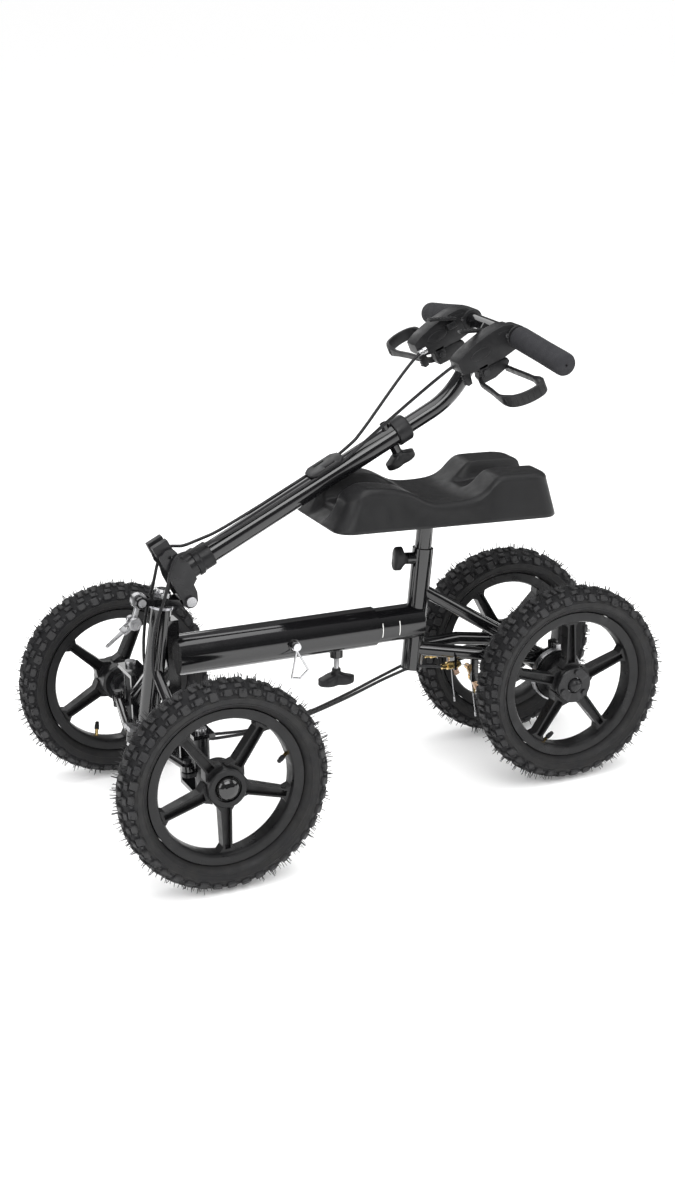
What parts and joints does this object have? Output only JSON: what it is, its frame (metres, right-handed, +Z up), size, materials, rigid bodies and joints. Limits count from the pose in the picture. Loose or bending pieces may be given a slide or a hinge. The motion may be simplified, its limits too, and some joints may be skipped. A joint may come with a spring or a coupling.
{
  "type": "knee scooter",
  "caption": "Folding steerable knee scooter: pneumatic spoked wheels, padded knee rest, telescopic beam, folding column with hand brake levers.",
  "frame": {"origin": "on the ground, on the centre plane, half way between the front and rear axles", "axes": "+X forward, +Y to the rider's left, +Z up; steering straight ahead, column folded back"},
  "size_m": [0.917, 0.52, 0.7094],
  "materials": {
    "gloss_black_paint": "gloss",
    "satin_black_paint": "satin",
    "black_plastic": "matte",
    "cast_black_wheel": "satin",
    "tyre_rubber": "matte",
    "seat_skin": "satin",
    "grip_foam": "matte",
    "zinc_steel": "satin",
    "bright_chrome": "polished",
    "gold_zinc": "satin",
    "brass": "satin",
    "bearing_steel": "satin"
  },
  "bodies": {
    "frame": {"front_frame": "gloss_black_paint", "head_bearings": "bearing_steel", "kingpins": "zinc_steel", "beam_sleeves": "black_plastic"},
    "beam_knob": {"beam_clamp_knob": "black_plastic"},
    "hitch_pin": {"hitch_pin": "bright_chrome"},
    "bail": {"pin_bail": "bright_chrome"},
    "rear": {"rear_frame": "gloss_black_paint", "rear_axle": "zinc_steel", "axle_nuts": "satin_black_paint", "brake_bands": "zinc_steel", "cable_adjusters": "brass"},
    "arm_left": {"brake_arm_left": "gold_zinc"},
    "arm_right": {"brake_arm_right": "gold_zinc"},
    "seat": {"seat_post": "gloss_black_paint", "seat_plate": "satin_black_paint", "seat_cushion": "seat_skin", "seat_bolts": "zinc_steel"},
    "seat_knob": {"seat_clamp_knob": "black_plastic"},
    "steering": {"steering_shaft": "zinc_steel", "base_plate": "gloss_black_paint", "steering_nut": "bright_chrome", "hinge_bolts": "zinc_steel"},
    "rod_left": {"tie_rod_left": "gloss_black_paint"},
    "rod_right": {"tie_rod_right": "gloss_black_paint"},
    "knuckle_left": {"knuckle_left": "satin_black_paint"},
    "knuckle_right": {"knuckle_right": "satin_black_paint"},
    "swing_bolt": {"swing_bolt": "zinc_steel"},
    "latch": {"latch_lever": "bright_chrome"},
    "column": {"hinge_block": "satin_black_paint", "column_tube": "gloss_black_paint", "column_collar": "black_plastic", "column_clamp": "black_plastic", "cable_guide": "black_plastic", "latch_cover": "black_plastic"},
    "column_knob": {"column_clamp_knob": "black_plastic"},
    "handlebar": {"handlebar": "gloss_black_paint", "grips": "grip_foam", "lever_housings": "black_plastic", "lever_pivots": "satin_black_paint"},
    "lever_left": {"brake_lever_left": "black_plastic"},
    "lever_right": {"brake_lever_right": "black_plastic"},
    "tab_left": {"park_tab_left": "black_plastic"},
    "tab_right": {"park_tab_right": "black_plastic"},
    "wheel_front_left": {"rim_front_left": "cast_black_wheel", "tyre_front_left": "tyre_rubber", "bearings_front_left": "bearing_steel", "hub_cap_front_left": "black_plastic"},
    "wheel_front_right": {"rim_front_right": "cast_black_wheel", "tyre_front_right": "tyre_rubber", "bearings_front_right": "bearing_steel", "hub_cap_front_right": "black_plastic"},
    "wheel_rear_left": {"rim_rear_left": "cast_black_wheel", "tyre_rear_left": "tyre_rubber", "bearings_rear_left": "bearing_steel", "hub_cap_rear_left": "satin_black_paint"},
    "wheel_rear_right": {"rim_rear_right": "cast_black_wheel", "tyre_rear_right": "tyre_rubber", "bearings_rear_right": "bearing_steel", "hub_cap_rear_right": "satin_black_paint"}
  },
  "joints": [
    {"name": "beam_knob_turn", "type": "hinge", "parent": "frame", "child": "beam_knob", "pos_m": [0.03243, 0, 0.1949], "axis": [-0.0227, 0, 0.9997], "continuous": true},
    {"name": "hitch_pin_pull", "type": "slide", "parent": "frame", "child": "hitch_pin", "axis": [0, 1, 0], "range_m": [0, 0.07]},
    {"name": "bail_swing", "type": "hinge", "parent": "hitch_pin", "child": "bail", "pos_m": [0.11204, 0.0392, 0.25672], "axis": [0, 1, 0], "range_deg": [-60, 60]},
    {"name": "wheelbase_slide", "type": "slide", "parent": "frame", "child": "rear", "axis": [0.9997, 0, 0.0227], "range_m": [-0.026, 0]},
    {"name": "arm_left_pull", "type": "hinge", "parent": "rear", "child": "arm_left", "pos_m": [-0.18, 0.034, 0.158], "axis": [0, 1, 0], "range_deg": [0, 18]},
    {"name": "arm_right_pull", "type": "hinge", "parent": "rear", "child": "arm_right", "pos_m": [-0.18, -0.034, 0.158], "axis": [0, 1, 0], "range_deg": [0, 18]},
    {"name": "seat_height", "type": "slide", "parent": "rear", "child": "seat", "axis": [-0.1156, 0, 0.9933], "range_m": [-0.035, 0]},
    {"name": "seat_knob_turn", "type": "hinge", "parent": "rear", "child": "seat_knob", "pos_m": [-0.08729, 0, 0.35172], "axis": [0.9933, 0, 0.1156], "continuous": true},
    {"name": "steer", "type": "hinge", "parent": "frame", "child": "steering", "pos_m": [0.304, 0, 0.336], "axis": [-0.1626, 0, 0.9867], "range_deg": [-30, 30]},
    {"name": "rod_left_pivot", "type": "hinge", "parent": "steering", "child": "rod_left", "pos_m": [0.35645, 0, 0.15309], "axis": [-0.1626, 0, 0.9867], "range_deg": [-30, 30]},
    {"name": "rod_right_pivot", "type": "hinge", "parent": "steering", "child": "rod_right", "pos_m": [0.35791, 0, 0.14421], "axis": [-0.1626, 0, 0.9867], "range_deg": [-30, 30]},
    {"name": "knuckle_left_turn", "type": "hinge", "parent": "frame", "child": "knuckle_left", "pos_m": [0.306, 0.15, 0.1525], "axis": [0, 0, 1], "range_deg": [-30, 30]},
    {"name": "knuckle_right_turn", "type": "hinge", "parent": "frame", "child": "knuckle_right", "pos_m": [0.306, -0.15, 0.1525], "axis": [0, 0, 1], "range_deg": [-30, 30]},
    {"name": "swing_bolt_swing", "type": "hinge", "parent": "steering", "child": "swing_bolt", "pos_m": [0.33704, 0, 0.35199], "axis": [0, -1, 0], "range_deg": [-20, 55]},
    {"name": "latch_lever_turn", "type": "hinge", "parent": "swing_bolt", "child": "latch", "pos_m": [0.347, 0, 0.321], "axis": [0, -1, 0], "range_deg": [-30, 45]},
    {"name": "column_fold", "type": "hinge", "parent": "steering", "child": "column", "pos_m": [0.26649, 0, 0.34654], "axis": [0, 1, 0], "range_deg": [0, 55.46]},
    {"name": "column_knob_turn", "type": "hinge", "parent": "column", "child": "column_knob", "pos_m": [-0.07358, 0, 0.51636], "axis": [0.4255, 0, 0.905], "continuous": true},
    {"name": "handlebar_height", "type": "slide", "parent": "column", "child": "handlebar", "axis": [-0.905, 0, 0.4255], "range_m": [0, 0.12]},
    {"name": "lever_left_squeeze", "type": "hinge", "parent": "handlebar", "child": "lever_left", "pos_m": [-0.17599, 0.07, 0.6421], "axis": [0, 1, 0], "range_deg": [0, 20]},
    {"name": "tab_left_turn", "type": "hinge", "parent": "handlebar", "child": "tab_left", "pos_m": [-0.14809, 0.07, 0.64686], "axis": [0, -1, 0], "range_deg": [0, 25]},
    {"name": "lever_right_squeeze", "type": "hinge", "parent": "handlebar", "child": "lever_right", "pos_m": [-0.17599, -0.07, 0.6421], "axis": [0, 1, 0], "range_deg": [0, 20]},
    {"name": "tab_right_turn", "type": "hinge", "parent": "handlebar", "child": "tab_right", "pos_m": [-0.14809, -0.07, 0.64686], "axis": [0, -1, 0], "range_deg": [0, 25]},
    {"name": "wheel_front_left_spin", "type": "hinge", "parent": "knuckle_left", "child": "wheel_front_left", "pos_m": [0.306, 0.23, 0.1525], "axis": [0, 1, 0], "continuous": true},
    {"name": "wheel_rear_left_spin", "type": "hinge", "parent": "rear", "child": "wheel_rear_left", "pos_m": [-0.306, 0.107, 0.1525], "axis": [0, 1, 0], "continuous": true},
    {"name": "wheel_front_right_spin", "type": "hinge", "parent": "knuckle_right", "child": "wheel_front_right", "pos_m": [0.306, -0.23, 0.1525], "axis": [0, 1, 0], "continuous": true},
    {"name": "wheel_rear_right_spin", "type": "hinge", "parent": "rear", "child": "wheel_rear_right", "pos_m": [-0.306, -0.107, 0.1525], "axis": [0, 1, 0], "continuous": true}
  ],
  "couplings": [
    {"joint": "rod_left_pivot", "follows": "steer", "ratio": -1},
    {"joint": "rod_right_pivot", "follows": "steer", "ratio": -1},
    {"joint": "knuckle_left_turn", "follows": "steer", "ratio": 1},
    {"joint": "knuckle_right_turn", "follows": "steer", "ratio": 1},
    {"joint": "arm_left_pull", "follows": "lever_left_squeeze", "ratio": 0.9},
    {"joint": "arm_right_pull", "follows": "lever_right_squeeze", "ratio": 0.9}
  ]
}
